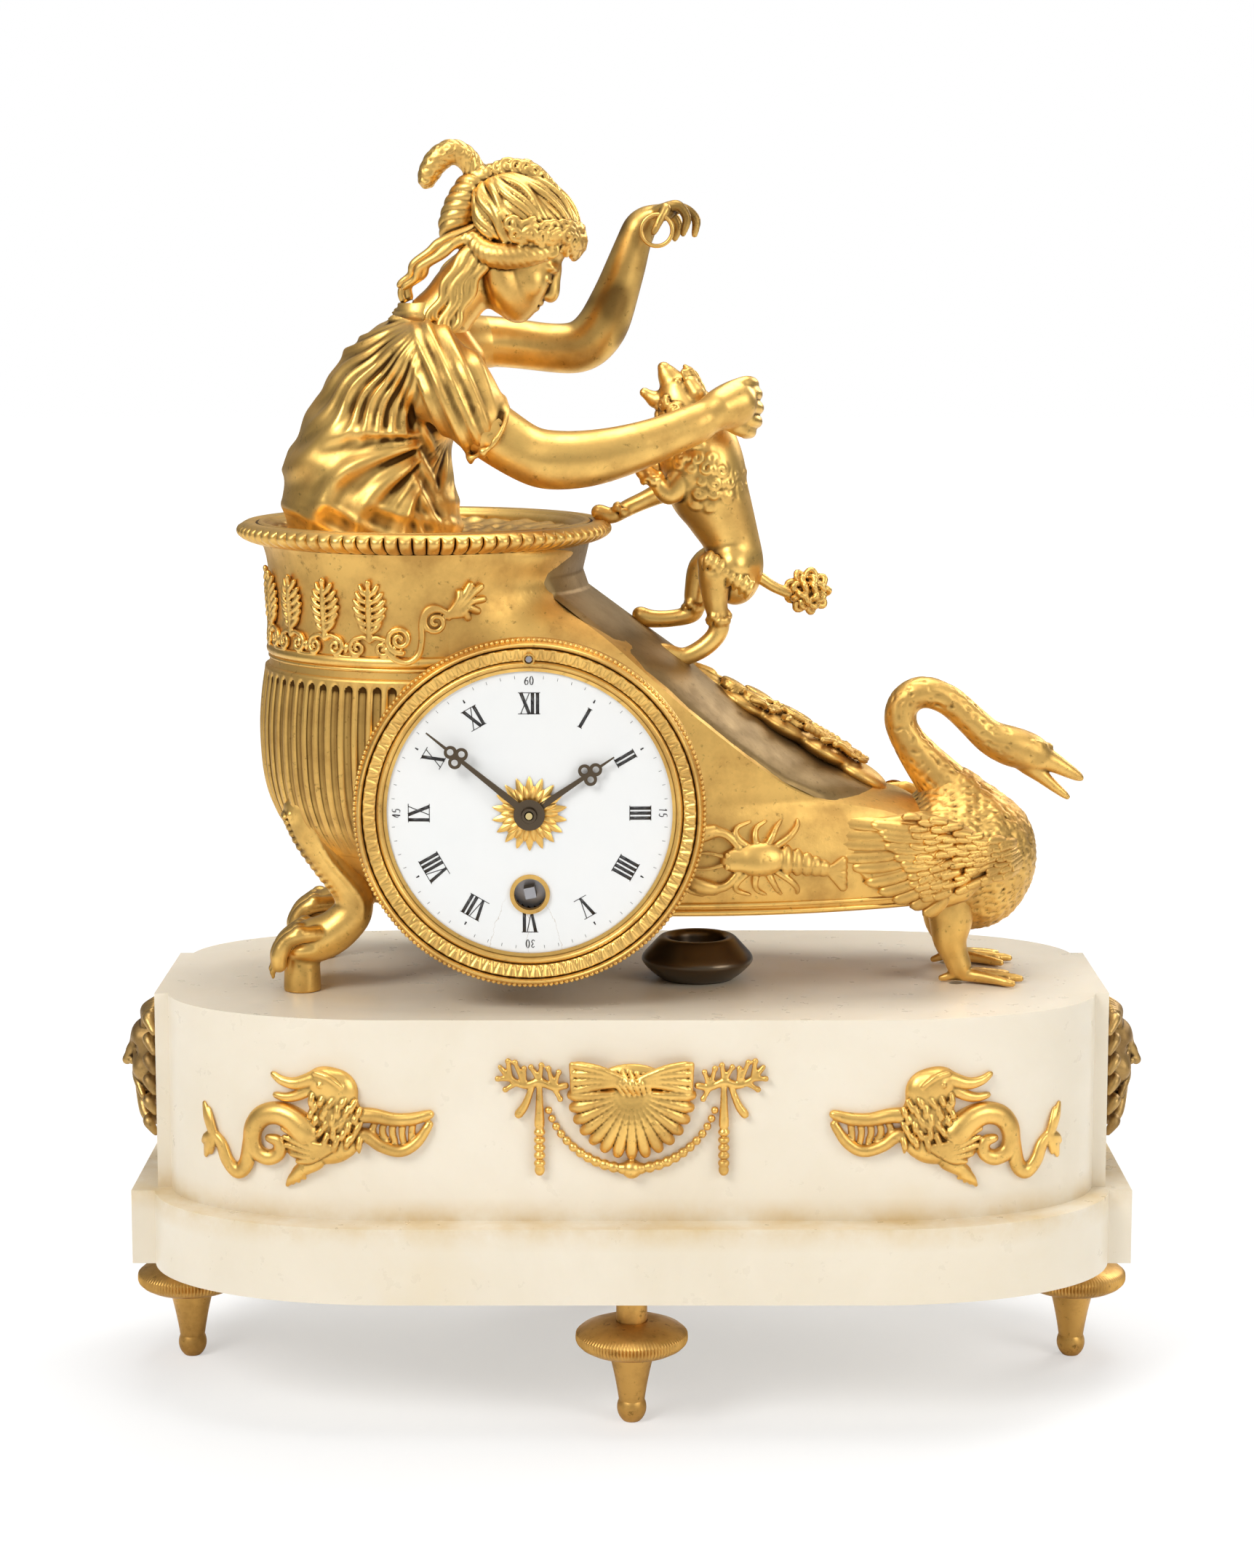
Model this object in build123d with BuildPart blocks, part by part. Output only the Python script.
"""Mantel clock in gilt bronze and white marble: a lady in a slipper bath, a poodle and a swan.

Frame: millimetres, +Z up, the dial faces -Y, the swan looks towards +X, and the origin is on the
table under the middle of the base.
"""
import os
from math import atan2, cos, degrees, pi, radians, sin, sqrt

from build123d import *

os.makedirs("parts", exist_ok=True)

# Fits
slip = 0.15
running = 0.06
free_gap = 0.3

# Marble base
slab_length = 300.0
slab_depth = 142.0
slab_end_depth = 64.0
slab_return = 7.0
slab_height = 22.5
block_length = 285.0
block_depth = 124.0
block_end_depth = 56.0
block_return = 4.1
block_height = 59.5
straight_front = 140.0

# Turned feet
foot_height = 39.5
foot_end_inset = 13.0
foot_front_inset = 14.0
ball_diameter = 8.6
ball_height = 6.4
pad_diameter = 5.0
stem_foot = 7.6
stem_top = 13.3
flange_diameter = 33.0
flange_bottom = 20.5
flange_height = 10.0
neck_diameter = 9.1
foot_stud = 5.0
foot_stud_length = 14.0

# Slipper bath
bath_lift = 25.5
case_cover = 8.5
bath_axis_x = -62.4
bath_wall = 3.0
toe_wall = 9.0
neck_drop = 20.0
rim_diameter = 114.0
rim_height = 6.5
rim_bore = 89.0
sheet_thickness = 3.0
sheet_rise = 3.0

# Legs, swan and basin
leg_spread = 46.0
stub_diameter = 12.0
stub_height = 8.0
stub_x = -98.7
tie_rod = 5.0
tie_nut_across = 10.0
tie_nut_height = 5.0
web_thickness = 2.6
web_peg = 4.0
web_peg_length = 12.0
basin_x = 20.0
basin_y = -6.0
basin_diameter = 34.0
basin_height = 13.0
basin_top = 25.0
basin_bore = 15.4
basin_floor = 3.0
basin_screw = 3.0

# Marble mounts
relief = 4.0
mask_depth = 14.5
mask_width = 34.0
mask_height = 44.0
mount_pin = 2.0
mount_pin_length = 9.0

# Clock case and dial
dial_x = -29.5
case_clear = 9.0
case_diameter = 99.0
case_wall = 1.7
case_front = 48.0
case_back = 50.0
bezel_diameter = 102.0
bezel_height = 6.0
dial_diameter = 86.0
dial_show = 82.6
dial_edge = 1.6
dial_dome = 1.2
dial_seat = 0.4
eyelet_bore = 9.2
eyelet_flange = 11.6
sunburst_diameter = 22.0
sunburst_points = 16
minute_length = 38.0
hour_length = 29.6
hand_thickness = 0.7
time_shown = 1 + 51.5 / 60

# Movement
plate_thickness = 2.0
plate_front = 42.0
plate_gap = 24.0
ledge_width = 1.0
pillar_diameter = 4.0
pillar_radius = 38.0
arbor_diameter = 2.0
pivot_diameter = 1.0
wheel_thickness = 1.2
pinion_length = 2.4
barrel_teeth = 80
barrel_module = 0.45
idler_pinion_teeth = 10
idler_teeth = 60
idler_module = 0.5
centre_pinion_teeth = 12
centre_teeth = 60
centre_module = 0.45
third_pinion_teeth = 8
third_teeth = 56
third_module = 0.42
fourth_pinion_teeth = 8
fourth_teeth = 48
fourth_module = 0.4
escape_pinion_teeth = 8
escape_teeth = 24
escape_diameter = 13.2
winding_drop = 23.75
winding_square = 3.2
winding_bearing = 3.2
barrel_diameter = 34.0
barrel_depth = 12.5
barrel_wall = 1.0
ratchet_diameter = 12.0
ratchet_teeth = 18
third_angle = 144.8
fourth_angle = 84.1
escape_angle = 6.72
anchor_rise = 11.0
regulator_rise = 45.0
regulator_diameter = 1.8
regulator_hole = 2.6
pendulum_length = 56.4
bob_diameter = 18.0
bob_thickness = 4.0
cannon_teeth = 12
minute_teeth = 36
motion_module = 0.5208
minute_pinion_teeth = 10
hour_teeth = 40
hour_module = 0.5
minute_angle = 45.0
door_thickness = 1.6
hinge_pin_diameter = 2.0

# Stacked levels
slab_bottom = foot_height
block_bottom = slab_bottom + slab_height
deck_z = block_bottom + block_height
bath_bottom = deck_z + bath_lift
bath_height = case_diameter + case_cover
rim_bottom = bath_bottom + bath_height
rim_top = rim_bottom + rim_height
dial_z = deck_z + case_clear + case_diameter / 2
leg_y = leg_spread / 2


def dial_plane(y, u=0.0, v=0.0):
    """A plane square to the clock's axis at depth y, moved u right and v up from the dial centre."""
    return Plane(origin=(dial_x + u, y, dial_z + v), x_dir=(1, 0, 0), z_dir=(0, -1, 0))


def hand_plane(y, direction):
    """The dial plane at depth y, turned so that its x axis points in a direction in degrees."""
    along = (cos(radians(direction)), 0, sin(radians(direction)))
    return Plane(origin=(dial_x, y, dial_z), x_dir=along, z_dir=(0, -1, 0))


def upright_plane(x, y, z=0.0):
    """A vertical plane seen from the front, for turned profiles about an upright axis."""
    return Plane(origin=(x, y, z), x_dir=(1, 0, 0), z_dir=(0, -1, 0))


def station_planes(stations):
    """Planes square to the line through the stations, with their half-widths across and up."""
    points = [Vector(*station[:3]) for station in stations]
    planes = []
    for index, station in enumerate(stations):
        before = points[max(index - 1, 0)]
        after = points[min(index + 1, len(points) - 1)]
        along = (after - before).normalized()
        across = Vector(0, 1, 0) - along * along.Y
        if across.length < 0.2:
            across = Vector(1, 0, 0) - along * along.X
        planes.append((Plane(points[index], x_dir=across, z_dir=along), station[3], station[-1]))
    return planes


def round_loft(*stations, mode=Mode.ADD):
    """Loft a limb through (x, y, z, half-width) or (x, y, z, half-width across, half-width up)."""
    faces = []
    for plane, across, up in station_planes(stations):
        with BuildSketch(plane) as section:
            Ellipse(across, up)
        faces.append(section.sketch.face())
    loft(faces, mode=mode)


def level_loft(*stations, mode=Mode.ADD):
    """Loft through level ellipses (x, y, z, half-length, half-depth)."""
    faces = []
    for x, y, z, half_length, half_depth in stations:
        with BuildSketch(Plane.XY.offset(z)) as section:
            with Locations((x, y)):
                Ellipse(half_length, half_depth)
        faces.append(section.sketch.face())
    loft(faces, mode=mode)


def write(builder, name):
    """Label a finished piece and write its file."""
    builder.part.label = name
    export_step(builder.part, f"parts/{name}.step")


# Marble blocks: flat ends with a return, and a bowed front and back
def bowed_plan(length, depth, end_depth, end_return, grow=0.0):
    """Plan of a marble block, grown outwards by a given amount."""
    half_length = length / 2
    shoulder = half_length - end_return + grow
    front = depth / 2 + grow
    corner = end_depth / 2 + grow
    straight = straight_front / 2
    with BuildSketch() as plan:
        with BuildLine():
            Line((0, -front), (straight, -front))
            Bezier(
                (straight, -front),
                (straight + 0.5 * (shoulder - straight), -front),
                (shoulder - 0.06 * (shoulder - straight), -corner - 0.6 * (front - corner)),
                (shoulder, -corner),
            )
            Polyline((shoulder, -corner), (half_length + grow, -corner), (half_length + grow, 0))
            mirror(about=Plane.XZ)
            mirror(about=Plane.YZ)
        make_face()
    return plan.sketch


feet = {
    "front": (0.0, foot_front_inset - slab_depth / 2),
    "back": (0.0, slab_depth / 2 - foot_front_inset),
    "left": (foot_end_inset - slab_length / 2, 0.0),
    "right": (slab_length / 2 - foot_end_inset, 0.0),
}
tie_points = [(stub_x, -leg_y), (stub_x, leg_y)]
web_y = 14.0
web_x = 98.0
web_points = [(web_x, -web_y), (web_x, web_y)]
goat_pins = [(84.0, block_bottom + 34.0), (95.0, block_bottom + 18.0)]
shell_pins = [(-12.0, block_bottom + 30.0), (12.0, block_bottom + 30.0)]
mask_pins = [block_bottom + 18.0, block_bottom + 42.0]
front_y = -block_depth / 2
end_x = block_length / 2

with BuildPart() as plinth_lower:
    with BuildSketch(Plane.XY.offset(slab_bottom)):
        add(bowed_plan(slab_length, slab_depth, slab_end_depth, slab_return))
    extrude(amount=slab_height)
    with Locations(*[(x, y, slab_bottom) for x, y in feet.values()]):
        Cylinder(
            foot_stud / 2 + slip,
            foot_stud_length + slip,
            align=(Align.CENTER, Align.CENTER, Align.MIN),
            mode=Mode.SUBTRACT,
        )
    with Locations(*[(x, y, slab_bottom) for x, y in tie_points]):
        Cylinder(
            tie_rod / 2 + slip,
            slab_height,
            align=(Align.CENTER, Align.CENTER, Align.MIN),
            mode=Mode.SUBTRACT,
        )
        Cylinder(
            tie_nut_across / 2 * 2 / sqrt(3) + slip,
            tie_nut_height,
            align=(Align.CENTER, Align.CENTER, Align.MIN),
            mode=Mode.SUBTRACT,
        )
write(plinth_lower, "plinth_lower")

with BuildPart() as plinth_upper:
    with BuildSketch(Plane.XY.offset(block_bottom)):
        add(bowed_plan(block_length, block_depth, block_end_depth, block_return))
    extrude(amount=block_height)
    with Locations(*[(x, y, block_bottom) for x, y in tie_points]):
        Cylinder(
            tie_rod / 2 + slip,
            block_height,
            align=(Align.CENTER, Align.CENTER, Align.MIN),
            mode=Mode.SUBTRACT,
        )
    with Locations(*[(x, y, deck_z) for x, y in web_points]):
        Cylinder(
            web_peg / 2 + slip,
            web_peg_length + slip,
            align=(Align.CENTER, Align.CENTER, Align.MAX),
            mode=Mode.SUBTRACT,
        )
    with Locations((basin_x, basin_y, deck_z)):
        Cylinder(
            basin_screw / 2 + slip,
            web_peg_length + slip,
            align=(Align.CENTER, Align.CENTER, Align.MAX),
            mode=Mode.SUBTRACT,
        )
    with BuildSketch(Plane.XZ.offset(-front_y + relief)):
        with Locations(*[(sign * x, z) for sign in (-1, 1) for x, z in goat_pins], *shell_pins):
            Circle(mount_pin / 2 + slip)
    extrude(amount=-(relief + mount_pin_length + 8.0), mode=Mode.SUBTRACT)
    for side in (-1, 1):
        with BuildSketch(Plane.YZ.offset(side * end_x)):
            with Locations(*[(0, z) for z in mask_pins]):
                Circle(mount_pin / 2 + slip)
        extrude(amount=-side * (mount_pin_length + slip), mode=Mode.SUBTRACT)
write(plinth_upper, "plinth_upper")

# Turned feet with a loose flange each
flange_top = flange_bottom + flange_height
for name, (x, y) in feet.items():
    with BuildPart() as foot:
        with BuildSketch(upright_plane(x, y)):
            with BuildLine():
                Line((0, 0), (pad_diameter / 2, 0))
                ThreePointArc(
                    (pad_diameter / 2, 0),
                    (ball_diameter / 2, ball_height * 0.55),
                    (stem_foot / 2, ball_height),
                )
                Spline(
                    (stem_foot / 2, ball_height),
                    (stem_foot / 2 + 0.8, ball_height + 5.0),
                    (stem_top / 2, flange_bottom),
                )
                Polyline(
                    (stem_top / 2, flange_bottom),
                    (neck_diameter / 2, flange_bottom),
                    (neck_diameter / 2, foot_height),
                    (foot_stud / 2, foot_height),
                    (foot_stud / 2, foot_height + foot_stud_length),
                    (0, foot_height + foot_stud_length),
                    (0, 0),
                )
            make_face()
        revolve(axis=Axis((x, y, 0), (0, 0, 1)))
    write(foot, f"foot_{name}")

with BuildPart() as foot_flanges:
    for x, y in feet.values():
        with BuildSketch(upright_plane(x, y, flange_bottom)):
            with BuildLine():
                bore = neck_diameter / 2 + slip
                edge = flange_diameter / 2
                Line((bore, 0), (stem_top / 2 + 1.0, 0))
                ThreePointArc(
                    (stem_top / 2 + 1.0, 0), (edge - 3.0, 1.6), (edge, flange_height * 0.36)
                )
                Line((edge, flange_height * 0.36), (edge, flange_height * 0.62))
                ThreePointArc(
                    (edge, flange_height * 0.62),
                    (edge - 6.0, flange_height * 0.86),
                    (bore + 1.5, flange_height),
                )
                Polyline((bore + 1.5, flange_height), (bore, flange_height), (bore, 0))
            make_face()
        revolve(axis=Axis((x, y, 0), (0, 0, 1)))
write(foot_flanges, "foot_flanges")

# Tie rods from the lion legs through both marble blocks
with BuildPart() as tie_rods:
    for x, y in tie_points:
        with Locations((x, y, slab_bottom)):
            Cylinder(
                tie_rod / 2,
                deck_z - slab_bottom + stub_height - 2.0,
                align=(Align.CENTER, Align.CENTER, Align.MIN),
            )
write(tie_rods, "tie_rods")


# Gilt mounts on the marble
def marble_skin():
    """The layer that lies on the upper block's front, as thick as the relief."""
    with BuildPart() as skin:
        with BuildSketch(Plane.XY.offset(block_bottom)):
            add(bowed_plan(block_length, block_depth, block_end_depth, block_return, relief))
            add(
                bowed_plan(block_length, block_depth, block_end_depth, block_return),
                mode=Mode.SUBTRACT,
            )
        extrude(amount=block_height)
    return skin.part


def goat_outline(side):
    """Side view of a sea-goat: forelegs, maned head with a swept horn, coiled tail and fin."""
    with BuildSketch() as outline:
        with BuildLine():
            points = [
                (51.5, 25.3), (58.0, 21.0), (64.5, 23.0), (71.0, 24.5), (66.5, 20.5), (58.5, 14.6),
                (63.9, 11.8), (69.0, 17.0), (75.0, 17.0), (81.0, 12.4), (91.0, 12.0), (97.0, 7.7),
                (98.0, 14.0), (101.0, 20.0), (104.0, 17.5), (108.5, 18.0), (111.0, 13.5),
                (114.0, 12.0), (118.0, 18.0), (124.0, 13.0), (125.5, 19.0), (128.0, 25.0),
                (126.3, 30.3), (122.5, 23.5), (118.0, 23.0), (114.5, 17.0), (112.0, 25.0),
                (106.5, 27.5), (100.0, 28.6), (91.0, 24.5), (91.5, 34.5), (96.0, 34.8),
                (98.0, 41.9), (91.5, 41.0), (84.9, 44.6), (77.8, 39.0), (75.4, 32.0),
                (76.0, 26.0), (71.7, 28.2), (63.4, 27.6),
            ]
            Polyline(*[(side * x, block_bottom + z) for x, z in points], close=True)
        make_face()
    return outline.sketch


for side, name in ((-1, "left"), (1, "right")):
    with BuildPart() as sea_goat:
        with BuildSketch(Plane.XZ):
            add(goat_outline(side))
        extrude(amount=block_depth)
        add(marble_skin(), mode=Mode.INTERSECT)
        with BuildSketch(Plane.XZ.offset(-front_y + 0.5)):
            with Locations(*[(side * x, z) for x, z in goat_pins]):
                Circle(mount_pin / 2)
        extrude(amount=-mount_pin_length)
    write(sea_goat, f"sea_goat_{name}")

shell_z = block_bottom + 38.0
shell_radius = 18.2
swag_z = block_bottom + 41.0
rod_x = 26.6
with BuildPart() as shell_mount:
    with BuildSketch(Plane.XZ.offset(-front_y)):
        with Locations((0, swag_z)):
            Circle(rod_x + 0.9)
            Circle(rod_x - 0.9, mode=Mode.SUBTRACT)
        with Locations((0, swag_z + rod_x)):
            Rectangle(4 * rod_x, 2 * rod_x, mode=Mode.SUBTRACT)
        with BuildLine():
            fan = CenterArc((0, shell_z), shell_radius, 195, 150)
            Polyline(fan @ 1, (8.0, shell_z + 6.0), (-8.0, shell_z + 6.0), fan @ 0)
        make_face()
        with Locations((0, shell_z + 5.0)):
            SlotOverall(34.0, 9.0)
        for side in (-1, 1):
            with Locations((side * rod_x, shell_z - 9.0)):
                Rectangle(3.2, 27.0)
            with Locations((side * 21.0, shell_z + 3.5)):
                Rectangle(12.0, 2.4)
            with Locations((side * (rod_x + 4.5), shell_z + 4.5)):
                Ellipse(5.4, 2.6)
            with Locations((side * (rod_x - 4.0), shell_z + 7.0)):
                Ellipse(2.6, 4.0)
    extrude(amount=relief)
    with BuildSketch(Plane.XZ.offset(-front_y + 0.5)):
        with Locations(*shell_pins):
            Circle(mount_pin / 2)
    extrude(amount=-mount_pin_length)
write(shell_mount, "shell_mount")

mask_z = block_bottom + 30.0
for side, name in ((-1, "left"), (1, "right")):
    with BuildPart() as mask:
        half_height = mask_height / 2
        half_width = mask_width / 2
        level_loft(
            (side * end_x, 0, mask_z - half_height, 3.0, 3.0),
            (side * end_x, 0, mask_z - half_height * 0.6, 0.65 * mask_depth, 0.6 * half_width),
            (side * end_x, 0, mask_z, mask_depth, 0.95 * half_width),
            (side * end_x, 0, mask_z + half_height * 0.5, 0.9 * mask_depth, half_width),
            (side * end_x, 0, mask_z + half_height, 4.0, 0.5 * half_width),
        )
        with Locations((side * (end_x - mask_depth), 0, mask_z)):
            Box(2 * mask_depth, 2 * mask_width, 2 * mask_height, mode=Mode.SUBTRACT)
        with BuildSketch(Plane.YZ.offset(side * (end_x + 1.0))):
            with Locations(*[(0, z) for z in mask_pins]):
                Circle(mount_pin / 2)
        extrude(amount=-side * mount_pin_length)
    write(mask, f"mask_{name}")


# Slipper bath: level slices of a round tub that runs out into a long toe
def bath_slice(level, tub, side_x, side, edge_x, edge, crest_x, inset, toe_inset):
    """A level slice: the tub's round end, two flanks through a middle point, and the crowned toe."""
    radius = tub - inset
    lean = radians(12)
    heel = (bath_axis_x + radius * sin(lean), radius * cos(lean))
    flank = (bath_axis_x + side_x, side - inset)
    toe = (bath_axis_x + edge_x - toe_inset, edge - inset)
    with BuildSketch(Plane.XY.offset(level)) as cut:
        with BuildLine():
            ThreePointArc(heel, (bath_axis_x - radius, 0), (heel[0], -heel[1]))
            ThreePointArc((heel[0], -heel[1]), (flank[0], -flank[1]), (toe[0], -toe[1]))
            ThreePointArc((toe[0], -toe[1]), (bath_axis_x + crest_x - toe_inset, 0), toe)
            ThreePointArc(toe, flank, heel)
        make_face()
    return cut.sketch.face()


# Height above the bath's underside, tub radius, flank (along, out), toe edge (along, out), crest
bath_slices = [
    (0.0, 23.0, 55.0, 37.0, 148.0, 22.0, 152.0),
    (6.0, 28.5, 55.0, 40.0, 150.0, 24.0, 154.0),
    (15.0, 36.5, 52.0, 43.0, 150.0, 25.0, 154.0),
    (23.0, 42.6, 52.0, 44.0, 148.0, 25.5, 153.0),
    (28.0, 45.2, 50.0, 44.5, 142.0, 26.5, 150.0),
    (bath_height - 73.9, 47.2, 60.0, 43.5, 118.0, 31.5, 136.0),
    (bath_height - 66.5, 48.5, 55.0, 44.5, 104.0, 35.5, 120.0),
    (bath_height - 55.5, 49.0, 45.0, 46.0, 90.0, 38.5, 103.5),
    (bath_height - 45.5, 48.4, 40.0, 46.2, 78.0, 40.0, 91.0),
    (bath_height - 34.5, 46.9, 36.0, 45.0, 65.5, 39.0, 77.5),
    (bath_height - 22.5, 46.2, 31.0, 41.6, 50.5, 33.0, 61.0),
    (bath_height - 13.5, 46.6, 25.5, 39.5, 38.5, 28.5, 49.0),
    (bath_height - 8.5, 47.0, 24.0, 40.4, 36.0, 30.2, 47.3),
    (bath_height, 49.0, 25.0, 42.1, 37.5, 31.5, 49.3),
]


def bath_solid(inset=0.0, toe_inset=0.0, floor=0.0, head=0.0):
    """The bath's outer form, or its hollow when it is inset, raised off the floor and open above."""
    levels = [cut[0] for cut in bath_slices]
    levels[0] = floor
    levels[-1] += head
    with BuildPart() as form:
        loft(
            [
                bath_slice(
                    bath_bottom + level,
                    *cut[1:],
                    inset,
                    toe_inset if level < bath_height - neck_drop else inset,
                )
                for level, cut in zip(levels, bath_slices)
            ]
        )
    return form.part


outer_bath = bath_solid()
case_bore = case_diameter / 2 + slip

with BuildPart() as bath_body:
    add(outer_bath)
    add(bath_solid(bath_wall, toe_wall, bath_wall, 1.0), mode=Mode.SUBTRACT)
    with BuildSketch(dial_plane(0)):
        Circle(case_bore)
    extrude(amount=rim_diameter, both=True, mode=Mode.SUBTRACT)
write(bath_body, "bath_body")

mouth_radius = bath_slices[-1][1]
with BuildPart() as bath_rim:
    with BuildSketch(upright_plane(bath_axis_x, 0, rim_bottom)):
        edge = rim_diameter / 2
        with BuildLine():
            Line((rim_bore / 2, 0), (mouth_radius, 0))
            ThreePointArc((mouth_radius, 0), (edge - 3.2, 1.4), (edge, rim_height * 0.6))
            Line((edge, rim_height * 0.6), (edge - 1.5, rim_height))
            Polyline((edge - 1.5, rim_height), (rim_bore / 2, rim_height), (rim_bore / 2, 0))
        make_face()
    revolve(axis=Axis((bath_axis_x, 0, 0), (0, 0, 1)))
write(bath_rim, "bath_rim")

stud_x = bath_axis_x - 12.0
stud_radius = tie_rod / 2
stud_drop = 12.0
sheet_top = rim_bottom + sheet_rise
with BuildPart() as water_sheet:
    with BuildSketch(Plane.XY.offset(sheet_top)):
        with Locations((bath_axis_x, 0)):
            Circle(rim_bore / 2 - free_gap)
        with Locations((stud_x, 0)):
            Circle(stud_radius + slip, mode=Mode.SUBTRACT)
    extrude(amount=-(sheet_rise + sheet_thickness))
write(water_sheet, "water_sheet")

# Three alike nuts: two on the tie rods in the underside, one on the figure's stud
nut_tops = [(x, y, slab_bottom + tie_nut_height) for x, y in tie_points]
nut_tops.append((stud_x, 0.0, rim_bottom - sheet_thickness))
with BuildPart() as fixing_nuts:
    for x, y, top in nut_tops:
        with BuildSketch(Plane.XY.offset(top)):
            with Locations((x, y)):
                RegularPolygon(tie_nut_across / 2, 6, major_radius=False)
                Circle(tie_rod / 2 + running, mode=Mode.SUBTRACT)
        extrude(amount=-tie_nut_height + 0.5)
write(fixing_nuts, "fixing_nuts")


def placed(origin, *stations):
    """Stations counted from an origin."""
    return [(origin[0] + x, origin[1] + y, origin[2] + z, *widths) for x, y, z, *widths in stations]


deck_origin = (bath_axis_x, 0.0, deck_z)
bath_origin = (bath_axis_x, 0.0, bath_bottom)
rim_origin = (bath_axis_x, 0.0, rim_top)

# Lion legs on short stubs
for side, name in ((-1, "front"), (1, "back")):
    with BuildPart() as lion_leg:
        round_loft(
            *placed(
                deck_origin,
                (-36.6, side * leg_y, 55.5, 8.5, 8.0),
                (-32.6, side * leg_y, 46.0, 7.5, 7.0),
                (-26.1, side * leg_y, 36.5, 6.0, 5.5),
                (-20.6, side * leg_y, 28.5, 5.2, 5.2),
                (-22.1, side * leg_y, 21.0, 5.2, 5.0),
                (-28.6, side * leg_y, 15.0, 6.4, 5.6),
                (-36.1, side * leg_y, 11.5, 8.0, 5.6),
                (-42.6, side * leg_y, 9.7, 7.4, 4.6),
                (-45.6, side * leg_y, 8.7, 4.0, 2.4),
            )
        )
        with Locations((stub_x, side * leg_y, deck_z)):
            Cylinder(
                stub_diameter / 2, stub_height + 2.0, align=(Align.CENTER, Align.CENTER, Align.MIN)
            )
            Cylinder(
                tie_rod / 2 + running,
                stub_height - 2.0 + running,
                align=(Align.CENTER, Align.CENTER, Align.MIN),
                mode=Mode.SUBTRACT,
            )
        add(outer_bath, mode=Mode.SUBTRACT)
    write(lion_leg, f"lion_leg_{name}")

# Swan at the toe
with BuildPart() as swan_body:
    round_loft(
        *placed(
            deck_origin,
            (142.4, 0, 40.5, 22.0, 14.0),
            (152.4, 0, 39.5, 25.0, 19.5),
            (162.4, 0, 39.0, 23.5, 19.5),
            (172.4, 0, 39.0, 19.0, 17.0),
            (179.4, 0, 38.5, 13.0, 12.0),
            (183.8, 0, 38.0, 4.0, 4.0),
        )
    )
    for side in (-1, 1):
        round_loft(
            *placed(
                deck_origin,
                (121.9, side * 31.5, 47.0, 2.0, 2.0),
                (132.4, side * 30.5, 42.5, 3.4, 8.5),
                (146.4, side * 28.0, 39.0, 4.4, 14.5),
                (160.4, side * 24.5, 38.5, 4.6, 13.5),
                (172.4, side * 17.5, 39.5, 3.0, 7.0),
            )
        )
    add(outer_bath, mode=Mode.SUBTRACT)
write(swan_body, "swan_body")

with BuildPart() as swan_neck:
    round_loft(
        *placed(
            deck_origin,
            (168.4, 0, 44.5, 9.0, 10.0),
            (163.4, 0, 54.5, 8.6, 8.6),
            (155.9, 0, 64.5, 7.0, 7.0),
            (148.4, 0, 74.0, 5.6, 5.6),
            (144.4, 0, 83.0, 4.9, 4.9),
            (148.4, 0, 89.8, 4.6, 4.6),
            (155.4, 0, 89.3, 4.5, 4.5),
            (163.4, 0, 83.5, 4.4, 4.4),
            (170.9, 0, 76.5, 4.4, 4.5),
            (178.4, 0, 71.5, 5.0, 5.2),
            (184.4, 0, 68.5, 4.4, 4.6),
            (189.4, 0, 66.0, 3.2, 2.8),
            (199.8, 0, 61.5, 0.9, 0.7),
        )
    )
    round_loft(
        *placed(
            deck_origin,
            (181.4, 0, 66.5, 3.4, 2.4),
            (187.4, 0, 62.0, 2.8, 1.8),
            (195.4, 0, 55.3, 0.9, 0.7),
        )
    )
    add(swan_body.part, mode=Mode.SUBTRACT)
write(swan_neck, "swan_neck")

with BuildPart() as swan_legs:
    for side in (-1, 1):
        round_loft(
            *placed(
                deck_origin,
                (164.4, side * 12.5, 27.5, 5.5, 6.0),
                (163.4, side * 13.5, 17.5, 3.8, 4.2),
                (160.9, side * web_y, 9.5, 2.8, 2.8),
                (160.4, side * web_y, 1.0, 2.8, 2.8),
            )
        )
        with BuildSketch(Plane.XY.offset(deck_z)):
            with BuildLine():
                Polyline(
                    (web_x - 5.5, side * (web_y - 2.0)),
                    (web_x - 5.5, side * (web_y + 2.0)),
                    (web_x + 10.0, side * (web_y + 12.0)),
                    (web_x + 17.0, side * (web_y + 5.0)),
                    (web_x + 17.5, side * (web_y - 4.0)),
                    close=True,
                )
            make_face()
        extrude(amount=web_thickness)
        with Locations((web_x, side * web_y, deck_z)):
            Cylinder(
                web_peg / 2, web_peg_length, align=(Align.CENTER, Align.CENTER, Align.MAX)
            )
    add(swan_body.part, mode=Mode.SUBTRACT)
    add(outer_bath, mode=Mode.SUBTRACT)
write(swan_legs, "swan_legs")

# Turned ring dish under the bath, with a stud let into the marble
with BuildPart() as basin:
    with BuildSketch(upright_plane(basin_x, basin_y, deck_z)):
        with BuildLine():
            mouth = basin_bore / 2
            Polyline(
                (0, basin_floor),
                (0, -web_peg_length),
                (basin_screw / 2, -web_peg_length),
                (basin_screw / 2, 0),
                (basin_top / 2 - 1.0, 0),
                (basin_diameter / 2 - 0.6, basin_height * 0.46),
            )
            ThreePointArc(
                (basin_diameter / 2 - 0.6, basin_height * 0.46),
                (basin_diameter / 2, basin_height * 0.5),
                (basin_diameter / 2 - 0.6, basin_height * 0.54),
            )
            Polyline(
                (basin_diameter / 2 - 0.6, basin_height * 0.54),
                (basin_top / 2, basin_height),
                (mouth, basin_height),
                (mouth - 0.6, basin_floor),
                (0, basin_floor),
            )
        make_face()
    revolve(axis=Axis((basin_x, basin_y, 0), (0, 0, 1)))
write(basin, "basin")

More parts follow.
